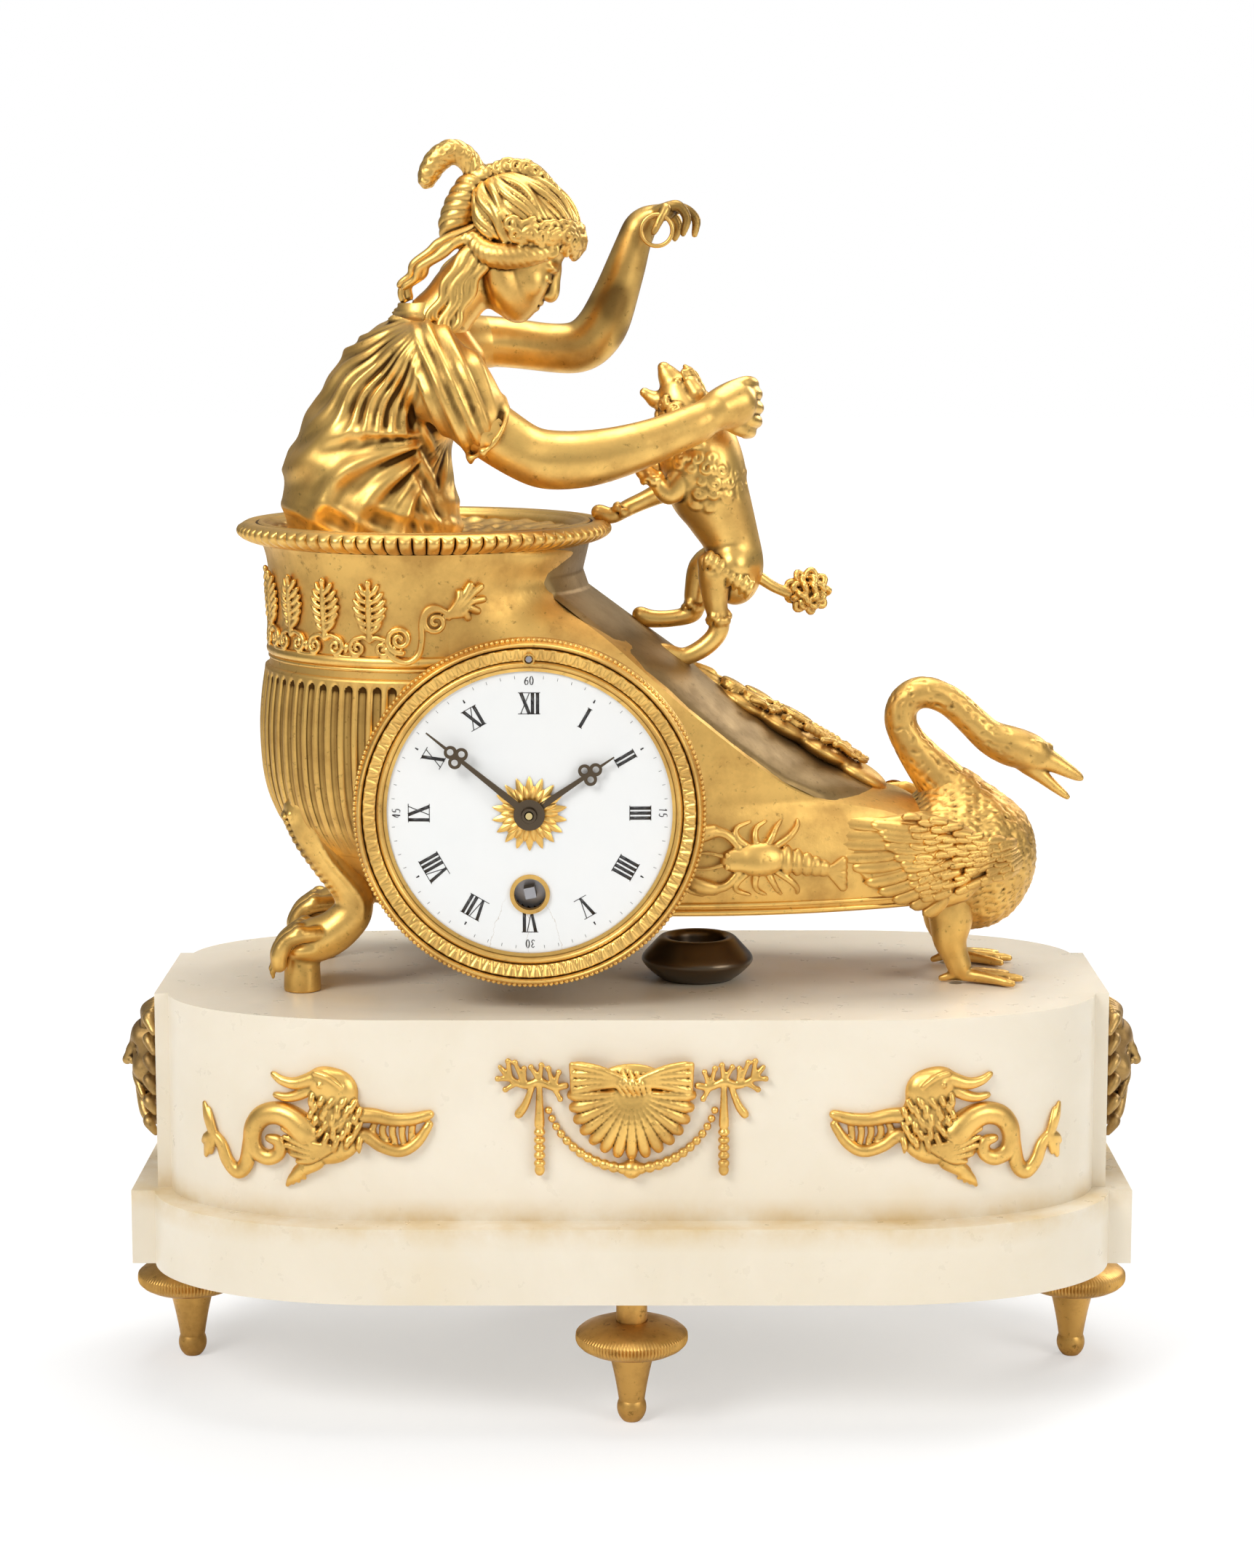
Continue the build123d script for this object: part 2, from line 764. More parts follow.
# Crayfish on the flank: a tail, a carapace and two claws, planted on the wall
crayfish_origin = (dial_x + case_diameter / 2, 0.0, bath_bottom)
with BuildPart() as crayfish:
    round_loft(
        *placed(
            crayfish_origin,
            (38.0, -35.3, 15.0, 2.6, 4.4),
            (32.0, -36.5, 17.0, 2.8, 2.4),
            (24.0, -38.1, 18.0, 3.6, 3.4),
            (15.0, -39.5, 17.0, 4.4, 4.6),
            (8.0, -40.3, 16.0, 2.6, 2.2),
        )
    )
    for rise in (-1, 1):
        round_loft(
            *placed(
                crayfish_origin,
                (16.0, -39.5, 17.0 + rise * 3, 2.4, 1.6),
                (10.0, -40.1, 17.0 + rise * 7.5, 2.6, 1.5),
                (4.0, -40.5, 17.0 + rise * 7.0, 3.0, 2.6),
                (-0.5, -40.7, 17.0 + rise * 4.5, 2.2, 0.9),
            )
        )
    add(outer_bath, mode=Mode.SUBTRACT)
write(crayfish, "crayfish")

# Trophy laid on the slope: a cloth, a book, a tambourine and a sheaf of pipes
with BuildPart() as trophy:
    round_loft(
        *placed(
            rim_origin,
            (83.4, 0, -47.0, 8.0, 2.0),
            (94.4, 0, -55.0, 13.0, 3.4),
            (107.4, 0, -63.5, 14.0, 4.2),
            (120.4, 0, -71.0, 13.0, 4.2),
            (132.4, 0, -77.5, 11.0, 4.2),
            (142.4, 0, -80.5, 8.0, 3.2),
        )
    )
    add(outer_bath, mode=Mode.SUBTRACT)
    add(swan_body.part, mode=Mode.SUBTRACT)
    add(swan_neck.part, mode=Mode.SUBTRACT)
write(trophy, "trophy")

# Lady: robe, head with dressed hair, two arms, and the ring that tempts the dog
near_arm_line = placed(
    rim_origin,
    (15.4, -26, 33.0, 7.6, 7.6),
    (25.4, -29, 25.5, 7.2, 7.4),
    (37.4, -30.5, 19.5, 6.6, 7.0),
    (54.4, -30, 20.5, 6.2, 6.4),
    (71.4, -27.5, 25.5, 5.2, 5.4),
    (82.4, -24.5, 30.5, 4.6, 4.4),
    (90.4, -21.5, 35.0, 5.6, 5.6),
    (96.4, -17.0, 37.5, 5.0, 6.6),
    (98.9, -11.0, 36.0, 3.0, 5.6),
)
with BuildPart() as figure_near_arm:
    round_loft(*near_arm_line)
write(figure_near_arm, "figure_near_arm")

finger_x = bath_axis_x + 70.0
finger_z = rim_top + 89.0
finger_radius = 1.3
finger_y = 24.0
finger_length = 9.0
with BuildPart() as figure_far_arm:
    round_loft(
        *placed(
            rim_origin,
            (10.4, 22, 53.0, 6.6, 6.6),
            (24.4, 25.5, 52.5, 6.4, 6.6),
            (41.4, 26.5, 51.0, 6.0, 6.6),
            (50.9, 26.5, 54.0, 5.8, 6.2),
            (55.9, 26, 63.0, 5.8, 6.0),
            (60.9, 25.5, 76.0, 5.0, 5.0),
            (64.9, 25, 87.0, 3.8, 3.6),
            (70.4, 24.5, 92.2, 4.2, 3.0),
            (76.4, 24, 91.6, 4.0, 2.4),
            (80.9, 24, 87.5, 3.2, 1.6),
            (82.4, 24, 83.5, 2.2, 1.0),
        )
    )
    with BuildSketch(Plane.XZ.offset(-finger_y)):
        with Locations((finger_x, finger_z)):
            Circle(finger_radius)
    extrude(amount=finger_length)
write(figure_far_arm, "figure_far_arm")

ring_diameter = 10.7
ring_wire = 1.3
ring_y = finger_y - 6.5
with BuildPart() as treat_ring:
    ring_mean = (ring_diameter - ring_wire) / 2
    ring_drop = ring_mean - ring_wire / 2 - finger_radius - running
    with BuildSketch(Plane.XY.offset(finger_z - ring_drop)):
        with Locations((finger_x + ring_mean, ring_y)):
            Circle(ring_wire / 2)
    revolve(axis=Axis((finger_x, ring_y, finger_z - ring_drop), (0, 1, 0)))
write(treat_ring, "treat_ring")

with BuildPart() as figure_head:
    round_loft(
        *placed(
            rim_origin,
            (-0.6, 0, 53.0, 8.0, 9.0),
            (6.4, 0, 61.0, 7.4, 8.0),
            (13.4, 0, 69.0, 7.2, 8.0),
            (19.4, 0, 76.0, 9.0, 10.0),
            (25.4, 0, 83.0, 11.0, 12.0),
        )
    )
    round_loft(
        *placed(
            rim_origin,
            (26.4, 0, 61.5, 4.0, 3.4),
            (29.4, 0, 67.0, 8.2, 7.6),
            (32.9, 0, 75.0, 10.4, 9.6),
            (35.9, 0, 83.0, 11.0, 10.0),
            (37.9, 0, 89.0, 9.0, 8.0),
        )
    )
    round_loft(
        *placed(
            rim_origin,
            (-3.6, 0, 76.0, 4.5, 3.0),
            (5.4, 0, 81.5, 11.5, 10.0),
            (16.4, 0, 89.5, 15.0, 14.5),
            (28.4, 0, 94.0, 15.5, 14.0),
            (39.4, 0, 93.5, 13.0, 11.0),
            (47.2, 0, 89.0, 6.0, 5.0),
        )
    )
    round_loft(
        *placed(
            rim_origin,
            (17.4, 0, 97.0, 7.5, 7.5),
            (11.9, 0, 105.5, 6.0, 5.6),
            (6.4, 0, 109.0, 5.4, 3.8),
            (0.9, 0, 105.0, 4.6, 3.6),
            (-1.6, 0, 97.5, 3.0, 1.8),
        )
    )
    round_loft(
        *placed(
            rim_origin,
            (4.4, -3, 80.0, 6.0, 5.0),
            (1.4, -5, 69.0, 5.5, 4.0),
            (4.4, -6, 58.0, 4.0, 3.0),
        )
    )
write(figure_head, "figure_head")

with BuildPart() as figure_torso:
    level_loft(
        *placed(
            rim_origin,
            (-14.6, 0, sheet_top - rim_top, 27.5, 27.0),
            (-16.6, 0, 5.0, 27.6, 28.0),
            (-17.8, 0, 15.0, 25.8, 27.5),
            (-14.2, 0, 27.0, 24.4, 26.5),
            (-8.6, 0, 39.0, 22.4, 26.0),
            (-4.6, 0, 48.0, 19.6, 25.5),
            (-2.6, 0, 54.0, 16.5, 22.0),
            (-2.1, 0, 59.0, 11.5, 13.0),
        )
    )
    round_loft(
        *placed(
            rim_origin,
            (-3.6, -14, 51.0, 9.0, 9.0),
            (2.4, -21, 47.0, 11.5, 11.5),
            (11.4, -25.5, 39.0, 11.6, 11.6),
            (19.4, -28, 30.5, 10.6, 10.6),
        )
    )
    round_loft(
        *placed(
            rim_origin,
            (-1.6, 12, 52.0, 8.0, 8.0),
            (7.4, 20, 53.0, 9.0, 9.0),
            (18.4, 24.5, 52.5, 8.8, 8.8),
        )
    )
    with Locations((stud_x, 0, sheet_top)):
        Cylinder(
            stud_radius, stud_drop, align=(Align.CENTER, Align.CENTER, Align.MAX)
        )
    add(figure_head.part, mode=Mode.SUBTRACT)
    add(figure_near_arm.part, mode=Mode.SUBTRACT)
    add(figure_far_arm.part, mode=Mode.SUBTRACT)
write(figure_torso, "figure_torso")

# Poodle begging on the slope, one forepaw on the rim
dog_y = -4.0
with BuildPart() as dog:
    round_loft(
        *placed(
            rim_origin,
            (75.9, dog_y, 30.0, 6.0, 5.5),
            (79.4, dog_y, 23.0, 10.0, 9.5),
            (82.9, dog_y, 14.5, 11.0, 11.0),
            (87.4, dog_y, 4.5, 9.0, 9.0),
            (92.9, dog_y, -7.0, 6.6, 6.6),
            (95.9, dog_y, -15.0, 7.6, 7.2),
            (95.9, dog_y, -22.5, 5.0, 4.4),
        )
    )
    round_loft(
        *placed(
            rim_origin,
            (79.9, dog_y, 26.0, 7.0, 6.5),
            (77.9, dog_y, 34.0, 7.2, 7.0),
            (75.4, dog_y, 39.0, 5.6, 5.0),
            (72.4, dog_y, 44.0, 3.6, 3.4),
            (70.9, dog_y, 47.5, 2.0, 1.6),
        )
    )
    round_loft(
        *placed(
            rim_origin,
            (94.4, dog_y - 5, -15.0, 5.0, 6.0),
            (87.9, dog_y - 6, -23.0, 3.6, 4.4),
            (88.4, dog_y - 6, -31.5, 2.4, 2.6),
            (82.4, dog_y - 6, -39.0, 2.4, 2.2),
            (75.9, dog_y - 6, -42.0, 3.0, 2.4),
        )
    )
    round_loft(
        *placed(
            rim_origin,
            (92.9, dog_y + 6, -13.0, 4.8, 5.6),
            (83.9, dog_y + 7, -16.0, 3.4, 4.0),
            (80.9, dog_y + 7, -24.5, 2.2, 2.4),
            (72.4, dog_y + 7, -30.5, 2.0, 2.0),
            (65.4, dog_y + 7, -31.5, 2.6, 2.2),
        )
    )
    round_loft(
        *placed(
            rim_origin,
            (77.4, dog_y + 5, 12.0, 4.4, 4.4),
            (68.4, dog_y + 6, 6.5, 2.4, 2.6),
            (59.4, dog_y + 6, 3.6, 2.0, 2.0),
            (51.9, dog_y + 6, 1.8, 2.6, 1.7),
        )
    )
    round_loft(
        *placed(
            rim_origin,
            (77.4, dog_y - 7, 13.0, 4.0, 4.4),
            (70.9, dog_y - 9, 6.5, 2.6, 2.8),
            (65.9, dog_y - 9.5, 9.0, 2.2, 2.2),
            (62.9, dog_y - 9.5, 12.5, 2.4, 2.0),
        )
    )
    add(outer_bath, mode=Mode.SUBTRACT)
    add(bath_rim.part, mode=Mode.SUBTRACT)
    add(figure_near_arm.part, mode=Mode.SUBTRACT)
write(dog, "dog")

with BuildPart() as dog_tail:
    round_loft(
        *placed(
            rim_origin,
            (97.4, dog_y, -16.5, 2.0, 2.0),
            (104.4, dog_y, -18.0, 1.3, 1.3),
            (111.4, dog_y, -20.0, 1.3, 1.3),
        )
    )
    with Locations((bath_axis_x + 115.8, dog_y, rim_top - 21.2)):
        Sphere(6.0)
    add(dog.part, mode=Mode.SUBTRACT)
write(dog_tail, "dog_tail")


# Clock case: a drum through the bath, with a ledge for the movement and a hinged back
case_radius = case_diameter / 2
case_inner = case_radius - case_wall
plate_back = plate_front - plate_thickness
rear_front = plate_back - plate_gap
rear_back = rear_front - plate_thickness
hinge_u = case_radius + 2.6
hinge_y = case_back + 1.0
knuckle_radius = hinge_pin_diameter / 2 + 1.2
knuckle_height = 7.4
knuckle_outer = 8.0
regulator_radius = regulator_diameter / 2

with BuildPart() as clock_case:
    with BuildSketch(dial_plane(case_back)):
        Circle(case_radius)
        Circle(case_inner, mode=Mode.SUBTRACT)
    extrude(amount=case_back + case_front)
    with BuildSketch(dial_plane(-plate_back + plate_thickness)):
        Circle(case_radius)
        Circle(case_inner - ledge_width, mode=Mode.SUBTRACT)
    extrude(amount=plate_thickness)
    for side in (-1, 1):
        with BuildSketch(Plane.XY.offset(dial_z + side * knuckle_height / 2 + side * slip)):
            with Locations((dial_x + hinge_u, hinge_y)):
                Circle(knuckle_radius)
            with Locations((dial_x + hinge_u - 1.6, hinge_y - 3.2)):
                Rectangle(3.4, 4.2)
        extrude(amount=side * (knuckle_outer - knuckle_height / 2))
    with Locations((dial_x + hinge_u, hinge_y, dial_z)):
        Cylinder(hinge_pin_diameter / 2 + running, 3 * knuckle_outer, mode=Mode.SUBTRACT)
    with BuildSketch(dial_plane(case_back)):
        Circle(case_inner)
    extrude(amount=case_back + rear_back, mode=Mode.SUBTRACT)
write(clock_case, "clock_case")

with BuildPart() as back_door:
    with BuildSketch(dial_plane(case_back + slip + door_thickness)):
        Circle(case_radius)
    extrude(amount=door_thickness)
    with BuildSketch(Plane.XY.offset(dial_z - knuckle_height / 2)):
        with Locations((dial_x + hinge_u, hinge_y)):
            Circle(knuckle_radius)
        with Locations((dial_x + hinge_u - 2.0, case_back + slip + door_thickness / 2)):
            Rectangle(4.0, door_thickness)
    extrude(amount=knuckle_height)
    with Locations((dial_x + hinge_u, hinge_y, dial_z)):
        Cylinder(hinge_pin_diameter / 2 + running, 3 * knuckle_outer, mode=Mode.SUBTRACT)
    with BuildSketch(dial_plane(case_back + slip + door_thickness, -0.82 * case_radius)):
        Circle(2.6)
    extrude(amount=-4.0)
write(back_door, "back_door")

with BuildPart() as hinge_pin:
    with Locations((dial_x + hinge_u, hinge_y, dial_z)):
        Cylinder(hinge_pin_diameter / 2, 2 * knuckle_outer + 1.0)
    with Locations((dial_x + hinge_u, hinge_y, dial_z + knuckle_outer + slip)):
        Cylinder(
            hinge_pin_diameter / 2 + 0.7, 1.0, align=(Align.CENTER, Align.CENTER, Align.MIN)
        )
write(hinge_pin, "hinge_pin")

# Bezel, dial and eyelet
rebate = dial_diameter / 2 + slip
lip = dial_seat + dial_edge + free_gap
with BuildPart() as bezel:
    with BuildSketch(Plane(origin=(dial_x, -case_front, dial_z), x_dir=(1, 0, 0), z_dir=(0, 0, 1))):
        outer = bezel_diameter / 2
        show = dial_show / 2
        with BuildLine():
            Polyline(
                (rebate, 0),
                (rebate, -lip),
                (show, -lip),
                (show, -lip - 0.8),
                (show + 1.6, -lip - 1.7),
                (show + 3.0, -lip - 1.0),
                (outer - 3.6, -bezel_height + 1.4),
            )
            ThreePointArc(
                (outer - 3.6, -bezel_height + 1.4),
                (outer - 2.0, -bezel_height),
                (outer, -bezel_height + 2.4),
            )
            Polyline((outer, -bezel_height + 2.4), (outer, 0), (rebate, 0))
        make_face()
    revolve(axis=Axis((dial_x, 0, dial_z), (0, 1, 0)))
    with BuildSketch(dial_plane(0, 0, regulator_rise)):
        Circle(regulator_hole / 2)
    extrude(amount=2 * case_front, mode=Mode.SUBTRACT)
write(bezel, "bezel")

dial_back = case_front + dial_seat
dial_rim = dial_back + dial_edge
dial_face = dial_rim + dial_dome
pipe_clear = 3.0
foot_ring = 34.0
with BuildPart() as dial:
    with BuildSketch(Plane(origin=(dial_x, -dial_back, dial_z), x_dir=(1, 0, 0), z_dir=(0, 0, 1))):
        with BuildLine():
            face = ThreePointArc(
                (dial_diameter / 2, -dial_edge),
                (dial_diameter / 4, -dial_edge - 0.75 * dial_dome),
                (0, -dial_edge - dial_dome),
            )
            Polyline(face @ 1, (0, 0), (dial_diameter / 2, 0), face @ 0)
        make_face()
    revolve(axis=Axis((dial_x, 0, dial_z), (0, 1, 0)))
    with BuildSketch(dial_plane(-plate_front)):
        with PolarLocations(foot_ring, 3, start_angle=30):
            Circle(1.0)
    extrude(amount=dial_back - plate_front + dial_edge / 2)
    with BuildSketch(dial_plane(-dial_back)):
        Circle(pipe_clear)
        with Locations((0, -winding_drop)):
            Circle(eyelet_bore / 2 + 0.5)
    extrude(amount=2 * (dial_edge + dial_dome), mode=Mode.SUBTRACT)
write(dial, "dial")

eyelet_face = dial_back + dial_edge + dial_dome * (1 - (winding_drop / dial_diameter * 2) ** 2) + 0.2
with BuildPart() as winding_eyelet:
    with BuildSketch(dial_plane(-eyelet_face, 0, -winding_drop)):
        Circle(eyelet_flange / 2)
        Circle(eyelet_bore / 2, mode=Mode.SUBTRACT)
    extrude(amount=0.5)
    with BuildSketch(dial_plane(-dial_back, 0, -winding_drop)):
        Circle(eyelet_bore / 2 + 0.5 - slip / 2)
        Circle(eyelet_bore / 2, mode=Mode.SUBTRACT)
    extrude(amount=eyelet_face - dial_back)
write(winding_eyelet, "winding_eyelet")

sunburst_back = dial_face + running
sunburst_thickness = 0.5
with BuildPart() as sunburst:
    with BuildSketch(dial_plane(-sunburst_back)):
        with BuildLine():
            rays = []
            for ray in range(sunburst_points):
                for share, reach in ((0.0, 1.0), (0.25, 0.86), (0.5, 0.62), (0.75, 0.86)):
                    angle = 2 * pi * (ray + share) / sunburst_points
                    radius = reach * sunburst_diameter / 2
                    rays.append((radius * cos(angle), radius * sin(angle)))
            Polyline(*rays, close=True)
        make_face()
        Circle(pipe_clear, mode=Mode.SUBTRACT)
    extrude(amount=sunburst_thickness)
write(sunburst, "sunburst")

# Hands on the motion work
arbor_radius = arbor_diameter / 2
cannon_pipe = arbor_radius + running + 0.62
hour_bore = cannon_pipe + running
hour_pipe = hour_bore + 0.56
hour_hand_back = sunburst_back + sunburst_thickness + 0.45
minute_hand_back = hour_hand_back + hand_thickness + 0.7
nut_back = minute_hand_back + hand_thickness
minute_direction = 90 - 360 * (time_shown % 1)
hour_direction = 90 - 30 * time_shown


def hand_outline(length, boss, bore):
    """A hand along +X: a boss, a tapered shaft, a pierced trefoil and a fine tip."""
    trefoil = 0.7 * length
    ring = 1.9
    with BuildSketch() as outline:
        with BuildLine():
            Polyline(
                (0, -1.1), (trefoil, -0.55), (length, -0.2),
                (length, 0.2), (trefoil, 0.55), (0, 1.1), close=True,
            )
        make_face()
        Circle(boss)
        with Locations((trefoil - 0.4, 1.5), (trefoil - 0.4, -1.5), (trefoil + 2.4, 0)):
            Circle(ring)
        with Locations((trefoil - 0.4, 1.6), (trefoil - 0.4, -1.6), (trefoil + 2.5, 0)):
            Circle(0.5 * ring, mode=Mode.SUBTRACT)
        Circle(bore, mode=Mode.SUBTRACT)
    return outline.sketch


with BuildPart() as hour_hand:
    with BuildSketch(hand_plane(-hour_hand_back, hour_direction)):
        add(hand_outline(hour_length, 4.2, hour_pipe + running / 2))
    extrude(amount=hand_thickness)
write(hour_hand, "hour_hand")

with BuildPart() as minute_hand:
    with BuildSketch(hand_plane(-minute_hand_back, minute_direction)):
        add(hand_outline(minute_length, 4.5, cannon_pipe + running / 2))
    extrude(amount=hand_thickness)
write(minute_hand, "minute_hand")

nut_height = 1.4
with BuildPart() as hand_nut:
    with BuildSketch(dial_plane(-nut_back)):
        Circle(2.4)
        Circle(arbor_radius + running, mode=Mode.SUBTRACT)
    extrude(amount=nut_height, taper=12)
write(hand_nut, "hand_nut")


# Wheelwork
def toothed(teeth, module, phase, addendum, dedendum, root, tip):
    """A ring of straight-flanked teeth: root and tip are half-widths as shares of the pitch."""
    pitch_radius = teeth * module / 2
    points = []
    for tooth in range(teeth):
        for share, depth in ((-root, -dedendum), (-tip, addendum), (tip, addendum), (root, -dedendum)):
            angle = radians(phase + (tooth + share) * 360 / teeth)
            radius = pitch_radius + depth * module
            points.append((radius * cos(angle), radius * sin(angle)))
    with BuildSketch() as ring:
        with BuildLine():
            Polyline(*points, close=True)
        make_face()
    return ring.sketch


def wheel_teeth(teeth, module, phase):
    """A wheel's teeth, thin enough to leave backlash."""
    return toothed(teeth, module, phase, 0.8, 1.2, 0.24, 0.07)


def pinion_leaves(teeth, module, phase):
    """A pinion's leaves."""
    return toothed(teeth, module, phase, 0.55, 1.25, 0.19, 0.07)


def meshed(phase, teeth, mate_teeth, direction):
    """Phase of a mate that lies in a direction from a wheel, with a tooth facing a space."""
    pitch = 360 / teeth
    share = ((phase - direction) % pitch) / pitch
    return direction + 180 - (share + 0.5) * 360 / mate_teeth


def beyond(point, distance, direction):
    """The place at a distance from a point, in a direction in degrees."""
    angle = radians(direction)
    return (point[0] + distance * cos(angle), point[1] + distance * sin(angle))


def heading(start, end):
    """Direction in degrees from one place to another."""
    return degrees(atan2(end[1] - start[1], end[0] - start[0]))


barrel_reach = (barrel_teeth + idler_pinion_teeth) * barrel_module / 2
idler_reach = (idler_teeth + centre_pinion_teeth) * idler_module / 2
third_reach = (centre_teeth + third_pinion_teeth) * centre_module / 2
fourth_reach = (third_teeth + fourth_pinion_teeth) * third_module / 2
escape_reach = (fourth_teeth + escape_pinion_teeth) * fourth_module / 2
minute_reach = (cannon_teeth + minute_teeth) * motion_module / 2

centre_at = (0.0, 0.0)
barrel_at = (0.0, -winding_drop)
idler_drop = (winding_drop**2 + idler_reach**2 - barrel_reach**2) / (2 * winding_drop)
idler_at = (sqrt(idler_reach**2 - idler_drop**2), -idler_drop)
third_at = beyond(centre_at, third_reach, third_angle)
fourth_at = beyond(third_at, fourth_reach, fourth_angle)
escape_at = beyond(fourth_at, escape_reach, escape_angle)
anchor_at = (escape_at[0], escape_at[1] + anchor_rise)
minute_at = beyond(centre_at, minute_reach, minute_angle)
regulator_at = (0.0, regulator_rise)
click_at = (barrel_at[0] + 9.5, barrel_at[1] - 4.0)

barrel_front = plate_back - 0.8
barrel_rear = barrel_front - barrel_depth
barrel_layer = barrel_rear + wheel_thickness / 2
idler_layer = barrel_rear - 2.7
centre_layer = idler_layer - 3.0
third_layer = idler_layer + 7.6
fourth_layer = idler_layer + 3.0
escape_layer = centre_layer - 2.0

idler_pinion_phase = meshed(0.0, barrel_teeth, idler_pinion_teeth, heading(barrel_at, idler_at))
centre_pinion_phase = meshed(0.0, idler_teeth, centre_pinion_teeth, heading(idler_at, centre_at))
third_pinion_phase = meshed(0.0, centre_teeth, third_pinion_teeth, heading(centre_at, third_at))
fourth_pinion_phase = meshed(0.0, third_teeth, fourth_pinion_teeth, heading(third_at, fourth_at))
escape_pinion_phase = meshed(0.0, fourth_teeth, escape_pinion_teeth, heading(fourth_at, escape_at))
minute_phase = meshed(0.0, cannon_teeth, minute_teeth, heading(centre_at, minute_at))
hour_phase = meshed(0.0, minute_pinion_teeth, hour_teeth, heading(minute_at, centre_at))


def layer(depth, thickness, place):
    """The plane at the back of a wheel that is centred on a depth in front of the clock's middle."""
    return dial_plane(-depth + thickness / 2, *place)


def add_arbor(place):
    """An arbor between the plates, with a pivot in each plate."""
    with BuildPart(dial_plane(-rear_back, *place), mode=Mode.PRIVATE) as arbor:
        Cylinder(
            pivot_diameter / 2,
            plate_front - rear_back,
            align=(Align.CENTER, Align.CENTER, Align.MIN),
        )
        with Locations((0, 0, plate_thickness + 0.2)):
            Cylinder(
                arbor_radius, plate_gap - 0.4, align=(Align.CENTER, Align.CENTER, Align.MIN)
            )
    return arbor.part


def add_wheel(teeth, module, depth, place, spokes=5):
    """A wheel with round lightening holes, centred on a depth."""
    radius = teeth * module / 2
    with BuildPart() as wheel:
        with BuildSketch(layer(depth, wheel_thickness, place)):
            add(wheel_teeth(teeth, module, 0.0))
            with PolarLocations(0.56 * radius, spokes):
                Circle(0.24 * radius, mode=Mode.SUBTRACT)
        extrude(amount=wheel_thickness)
    return wheel.part


def add_pinion(teeth, module, phase, depth, place):
    """A pinion centred on a depth."""
    with BuildPart() as pinion:
        with BuildSketch(layer(depth, pinion_length, place)):
            add(pinion_leaves(teeth, module, phase))
        extrude(amount=pinion_length)
    return pinion.part


train = {
    "idler_wheel": (
        idler_at, idler_pinion_teeth, barrel_module, idler_pinion_phase, barrel_layer,
        idler_teeth, idler_module, idler_layer,
    ),
    "third_wheel": (
        third_at, third_pinion_teeth, centre_module, third_pinion_phase, centre_layer,
        third_teeth, third_module, third_layer,
    ),
    "fourth_wheel": (
        fourth_at, fourth_pinion_teeth, third_module, fourth_pinion_phase, third_layer,
        fourth_teeth, fourth_module, fourth_layer,
    ),
}
for name, (place, leaves, fine, phase, leaf_layer, teeth, module, wheel_layer) in train.items():
    with BuildPart() as train_wheel:
        add(add_arbor(place))
        add(add_pinion(leaves, fine, phase, leaf_layer, place))
        add(add_wheel(teeth, module, wheel_layer, place))
    write(train_wheel, name)

with BuildPart() as centre_wheel:
    with BuildSketch(dial_plane(-rear_back)):
        Circle(arbor_radius)
    extrude(amount=nut_back + nut_height + 0.4 - rear_back)
    add(add_pinion(centre_pinion_teeth, idler_module, centre_pinion_phase, idler_layer, centre_at))
    add(add_wheel(centre_teeth, centre_module, centre_layer, centre_at))
write(centre_wheel, "centre_wheel")

with BuildPart() as escape_wheel:
    add(add_arbor(escape_at))
    add(
        add_pinion(
            escape_pinion_teeth, fourth_module, escape_pinion_phase, fourth_layer, escape_at
        )
    )
    with BuildSketch(layer(escape_layer, wheel_thickness, escape_at)):
        with BuildLine():
            points = []
            for tooth in range(escape_teeth):
                for share, reach in ((-0.34, 0.76), (0.0, 1.0), (0.06, 1.0), (0.2, 0.76)):
                    angle = 2 * pi * (tooth + share) / escape_teeth
                    radius = reach * escape_diameter / 2
                    points.append((radius * cos(angle), radius * sin(angle)))
            Polyline(*points, close=True)
        make_face()
        with PolarLocations(0.46 * escape_diameter / 2, 4):
            Circle(0.16 * escape_diameter / 2, mode=Mode.SUBTRACT)
    extrude(amount=wheel_thickness)
write(escape_wheel, "escape_wheel")

# Anchor with its crutch, and the pendulum hung on the regulator arbor
pendulum_depth = rear_back - 4.9
rod_width = 1.6
rod_thickness = 1.0
crutch_depth = rear_back - 1.9
crutch_thickness = 0.8
fork_v = 12.0
fork_half = rod_width / 2 + free_gap
with BuildPart() as anchor:
    with BuildSketch(dial_plane(-crutch_depth + crutch_thickness, *anchor_at)):
        Circle(arbor_radius - 0.2)
    extrude(amount=plate_back - 0.2 - crutch_depth + crutch_thickness)
    with BuildSketch(dial_plane(-plate_back + 1.0, *anchor_at)):
        Circle(pivot_diameter / 2)
    extrude(amount=plate_thickness + 1.0)
    with BuildSketch(layer(escape_layer, wheel_thickness, anchor_at)):
        Circle(1.8)
        for side in (-1, 1):
            with BuildLine():
                Polyline(
                    (0, 1.6), (side * 5.0, -1.8), (side * 6.1, -4.6),
                    (side * 4.9, -4.9), (side * 4.0, -2.4), (0, -1.0), close=True,
                )
            make_face()
    extrude(amount=wheel_thickness)
    with BuildSketch(dial_plane(-crutch_depth + crutch_thickness, *anchor_at)):
        Circle(1.8)
        with Locations((0, (fork_v - anchor_at[1]) / 2)):
            Rectangle(1.6, anchor_at[1] - fork_v)
        with Locations((0, fork_v - anchor_at[1])):
            Rectangle(2 * fork_half + 2.4, 3.0)
    extrude(amount=crutch_thickness)
    with BuildSketch(dial_plane(-crutch_depth + crutch_thickness, anchor_at[0], fork_v)):
        with Locations((fork_half + 0.6, 0), (-fork_half - 0.6, 0)):
            Rectangle(1.2, 3.0)
    extrude(amount=-(crutch_depth - crutch_thickness - pendulum_depth + rod_thickness))
write(anchor, "anchor")

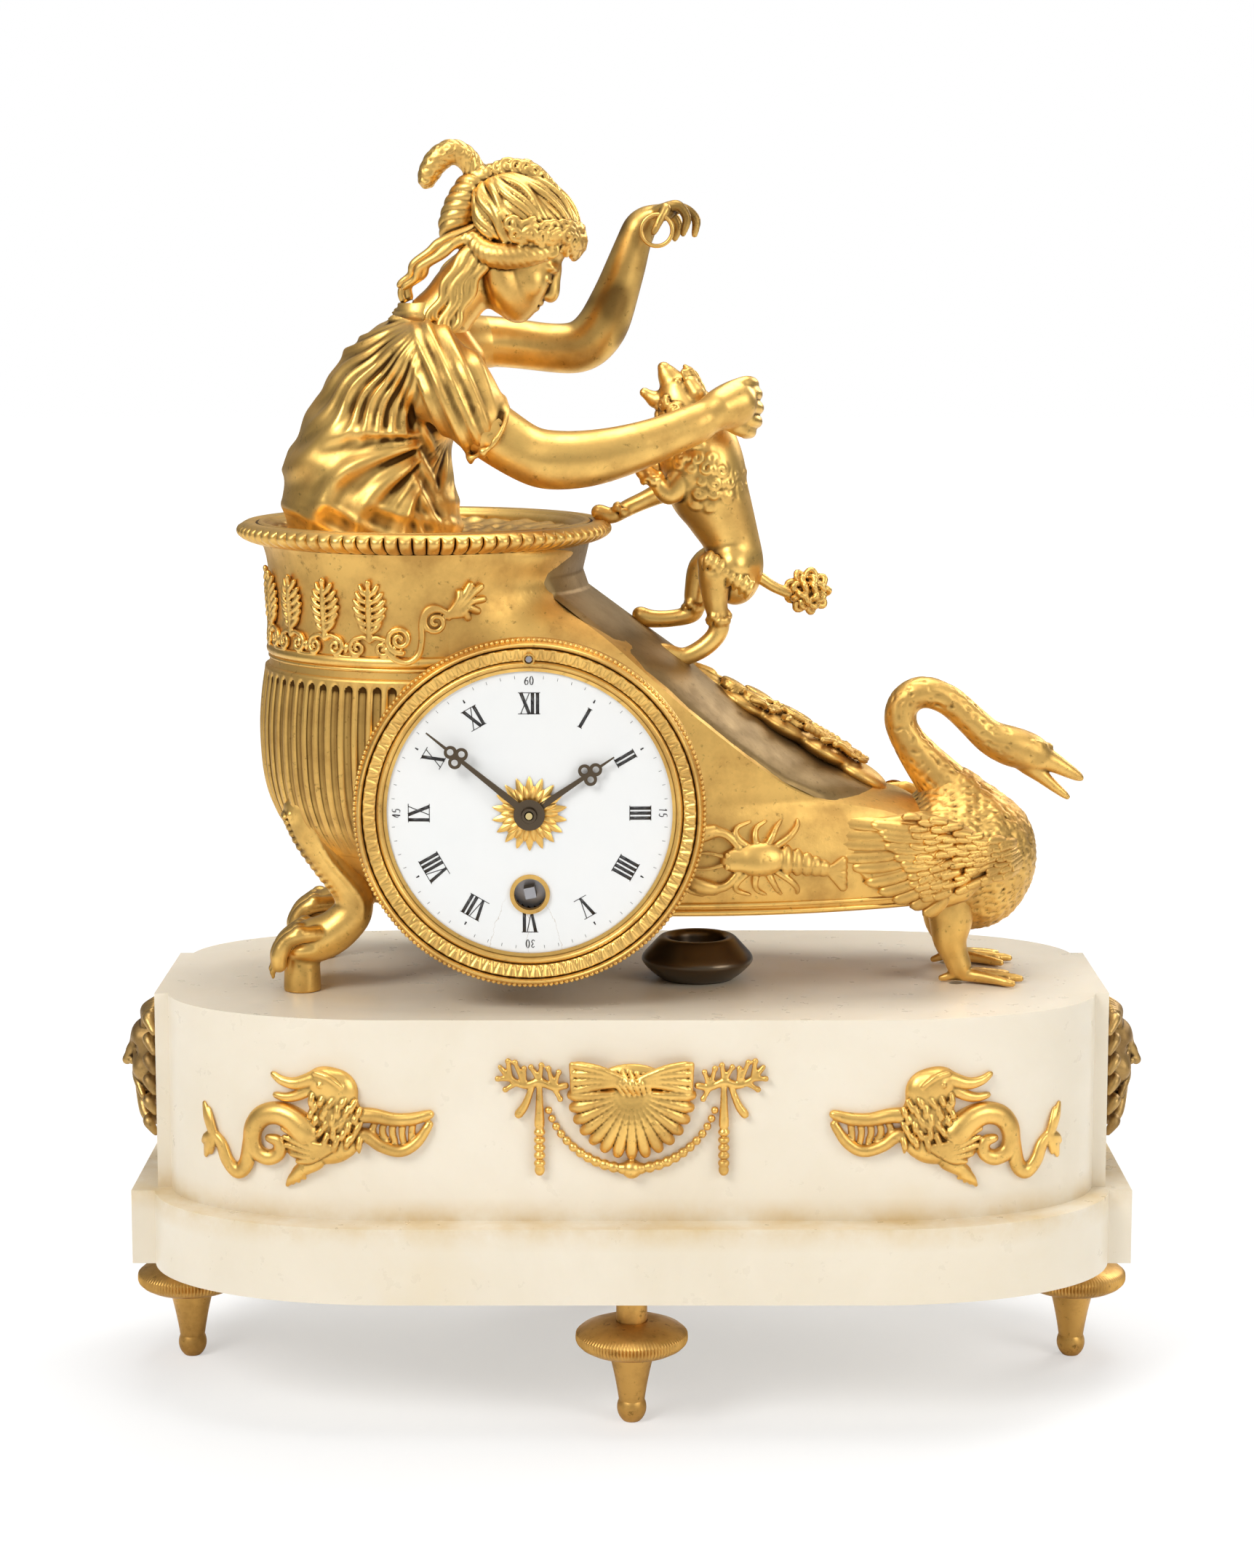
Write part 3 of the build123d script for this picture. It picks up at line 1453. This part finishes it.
with BuildPart() as pendulum:
    with BuildSketch(dial_plane(-pendulum_depth + rod_thickness / 2, *regulator_at)):
        Circle(regulator_radius + running + 1.3)
        with Locations((0, -pendulum_length / 2)):
            Rectangle(rod_width, pendulum_length)
        Circle(regulator_radius + running, mode=Mode.SUBTRACT)
    extrude(amount=rod_thickness)
    with BuildSketch(
        Plane(
            origin=(dial_x, -pendulum_depth, dial_z + regulator_rise - pendulum_length),
            x_dir=(1, 0, 0),
            z_dir=(0, 0, 1),
        )
    ):
        with BuildLine():
            Polyline(
                (0, -bob_thickness / 2),
                (0.8 * bob_diameter / 2, -0.34 * bob_thickness),
                (bob_diameter / 2, 0),
                (0.8 * bob_diameter / 2, 0.34 * bob_thickness),
                (0, bob_thickness / 2),
                close=True,
            )
        make_face()
    revolve(
        axis=Axis((dial_x, 0, dial_z + regulator_rise - pendulum_length), (0, 1, 0))
    )
write(pendulum, "pendulum")

with BuildPart() as regulator_arbor:
    with BuildSketch(dial_plane(-pendulum_depth + 2.4, *regulator_at)):
        Circle(regulator_radius)
    extrude(amount=case_front + bezel_height - 1.6 - pendulum_depth + 2.4)
    with BuildSketch(dial_plane(-plate_back + 1.4, *regulator_at)):
        Circle(regulator_radius + 0.7)
    extrude(amount=1.2)
write(regulator_arbor, "regulator_arbor")

# Plates: four pillars are riveted to the back plate and enter the front plate
spigot = 2.4
train_places = [idler_at, third_at, fourth_at, escape_at]
post_radius = 0.8
motion_back = plate_front + 1.2
with BuildPart() as front_plate:
    with BuildSketch(dial_plane(-plate_back)):
        Circle(case_inner - free_gap)
        with Locations(*train_places, anchor_at):
            Circle(pivot_diameter / 2 + running, mode=Mode.SUBTRACT)
        Circle(arbor_radius + running, mode=Mode.SUBTRACT)
        with Locations(barrel_at):
            Circle(winding_bearing / 2 + running, mode=Mode.SUBTRACT)
        with Locations(regulator_at):
            Circle(regulator_radius + running, mode=Mode.SUBTRACT)
        with PolarLocations(pillar_radius, 4, start_angle=45):
            Circle(spigot / 2 + running, mode=Mode.SUBTRACT)
    extrude(amount=plate_thickness)
    with BuildSketch(dial_plane(-plate_front)):
        with Locations(minute_at, click_at):
            Circle(post_radius)
    extrude(amount=motion_back - plate_front + 2 * wheel_thickness + pinion_length - 0.4)
write(front_plate, "front_plate")

with BuildPart() as back_plate:
    with BuildSketch(dial_plane(-rear_back)):
        Circle(case_inner - ledge_width - free_gap)
        with Locations(*train_places):
            Circle(pivot_diameter / 2 + running, mode=Mode.SUBTRACT)
        with Locations(anchor_at):
            Circle(arbor_radius - 0.2 + running, mode=Mode.SUBTRACT)
        Circle(arbor_radius + running, mode=Mode.SUBTRACT)
        with Locations(barrel_at):
            Circle(winding_bearing / 2 + running, mode=Mode.SUBTRACT)
        with Locations(regulator_at):
            Circle(regulator_radius + running, mode=Mode.SUBTRACT)
    extrude(amount=plate_thickness)
    with BuildSketch(dial_plane(-rear_front)):
        with PolarLocations(pillar_radius, 4, start_angle=45):
            Circle(pillar_diameter / 2)
    extrude(amount=plate_gap)
    with BuildSketch(dial_plane(-plate_back)):
        with PolarLocations(pillar_radius, 4, start_angle=45):
            Circle(spigot / 2)
    extrude(amount=plate_thickness)
write(back_plate, "back_plate")

# Going barrel, its spring, and the winding arbor with ratchet and click
barrel_radius = barrel_diameter / 2
barrel_inner = barrel_radius - barrel_wall
with BuildPart() as barrel:
    with BuildSketch(dial_plane(-barrel_rear, *barrel_at)):
        add(wheel_teeth(barrel_teeth, barrel_module, 0.0))
        Circle(winding_bearing / 2 + running, mode=Mode.SUBTRACT)
    extrude(amount=wheel_thickness)
    with BuildSketch(dial_plane(-barrel_rear - wheel_thickness, *barrel_at)):
        Circle(barrel_radius)
        Circle(barrel_inner, mode=Mode.SUBTRACT)
    extrude(amount=barrel_depth - wheel_thickness)
write(barrel, "barrel")

with BuildPart() as barrel_cap:
    with BuildSketch(dial_plane(-barrel_front + barrel_wall, *barrel_at)):
        Circle(barrel_inner - running)
        Circle(winding_bearing / 2 + running, mode=Mode.SUBTRACT)
    extrude(amount=barrel_wall)
write(barrel_cap, "barrel_cap")

core_radius = 3.5
with BuildPart() as mainspring:
    with BuildSketch(dial_plane(-barrel_rear - wheel_thickness - free_gap, *barrel_at)):
        Circle(barrel_inner - free_gap)
        Circle(core_radius + free_gap, mode=Mode.SUBTRACT)
    extrude(amount=barrel_depth - wheel_thickness - barrel_wall - 2 * free_gap)
write(mainspring, "mainspring")

ratchet_back = plate_front + 1.0
with BuildPart() as winding_arbor:
    with BuildSketch(dial_plane(-rear_back, *barrel_at)):
        Circle(winding_bearing / 2)
    extrude(amount=ratchet_back - rear_back)
    with BuildSketch(dial_plane(-barrel_rear - wheel_thickness - free_gap, *barrel_at)):
        Circle(core_radius)
    extrude(amount=barrel_depth - wheel_thickness - barrel_wall - 2 * free_gap)
    with BuildSketch(dial_plane(-ratchet_back, *barrel_at)):
        with BuildLine():
            points = []
            for tooth in range(ratchet_teeth):
                for share, reach in ((0.0, 0.8), (0.85, 1.0), (0.95, 1.0)):
                    angle = 2 * pi * (tooth + share) / ratchet_teeth
                    radius = reach * ratchet_diameter / 2
                    points.append((radius * cos(angle), radius * sin(angle)))
            Polyline(*points, close=True)
        make_face()
    extrude(amount=wheel_thickness)
    with BuildSketch(dial_plane(-ratchet_back - wheel_thickness, *barrel_at)):
        Rectangle(winding_square, winding_square, rotation=12)
    extrude(amount=dial_back + 1.2 - ratchet_back - wheel_thickness)
write(winding_arbor, "winding_arbor")

with BuildPart() as click:
    with BuildSketch(dial_plane(-ratchet_back - 0.1, *click_at)):
        Circle(1.9)
        tip = beyond((-9.5, 4.0), ratchet_diameter / 2 + free_gap + 0.6, 20)
        with Locations(tip):
            Circle(0.6)
        make_hull()
        Circle(post_radius + running, mode=Mode.SUBTRACT)
    extrude(amount=wheel_thickness - 0.2)
write(click, "click")

# Motion work in front of the front plate
hour_layer_back = motion_back + wheel_thickness + 1.0
with BuildPart() as cannon_pinion:
    with BuildSketch(dial_plane(-motion_back + 0.2)):
        add(pinion_leaves(cannon_teeth, motion_module, 0.0))
    extrude(amount=wheel_thickness + 0.6)
    with BuildSketch(dial_plane(-motion_back)):
        Circle(cannon_pipe)
    extrude(amount=nut_back - motion_back)
    with BuildSketch(dial_plane(0)):
        Circle(arbor_radius + running)
    extrude(amount=2 * case_front, mode=Mode.SUBTRACT)
write(cannon_pinion, "cannon_pinion")

with BuildPart() as minute_wheel:
    with BuildSketch(dial_plane(-motion_back, *minute_at)):
        add(wheel_teeth(minute_teeth, motion_module, minute_phase))
        with PolarLocations(0.58 * minute_teeth * motion_module / 2, 5):
            Circle(0.2 * minute_teeth * motion_module / 2, mode=Mode.SUBTRACT)
    extrude(amount=wheel_thickness)
    with BuildSketch(dial_plane(-motion_back - wheel_thickness, *minute_at)):
        add(pinion_leaves(minute_pinion_teeth, hour_module, 0.0))
    extrude(amount=pinion_length)
    with BuildSketch(dial_plane(0, *minute_at)):
        Circle(post_radius + running)
    extrude(amount=2 * case_front, mode=Mode.SUBTRACT)
write(minute_wheel, "minute_wheel")

with BuildPart() as hour_wheel:
    with BuildSketch(dial_plane(-hour_layer_back)):
        add(wheel_teeth(hour_teeth, hour_module, hour_phase))
    extrude(amount=wheel_thickness)
    with BuildSketch(dial_plane(-hour_layer_back)):
        Circle(hour_pipe)
    extrude(amount=hour_hand_back + hand_thickness - hour_layer_back)
    with BuildSketch(dial_plane(0)):
        Circle(hour_bore)
    extrude(amount=2 * case_front, mode=Mode.SUBTRACT)
write(hour_wheel, "hour_wheel")
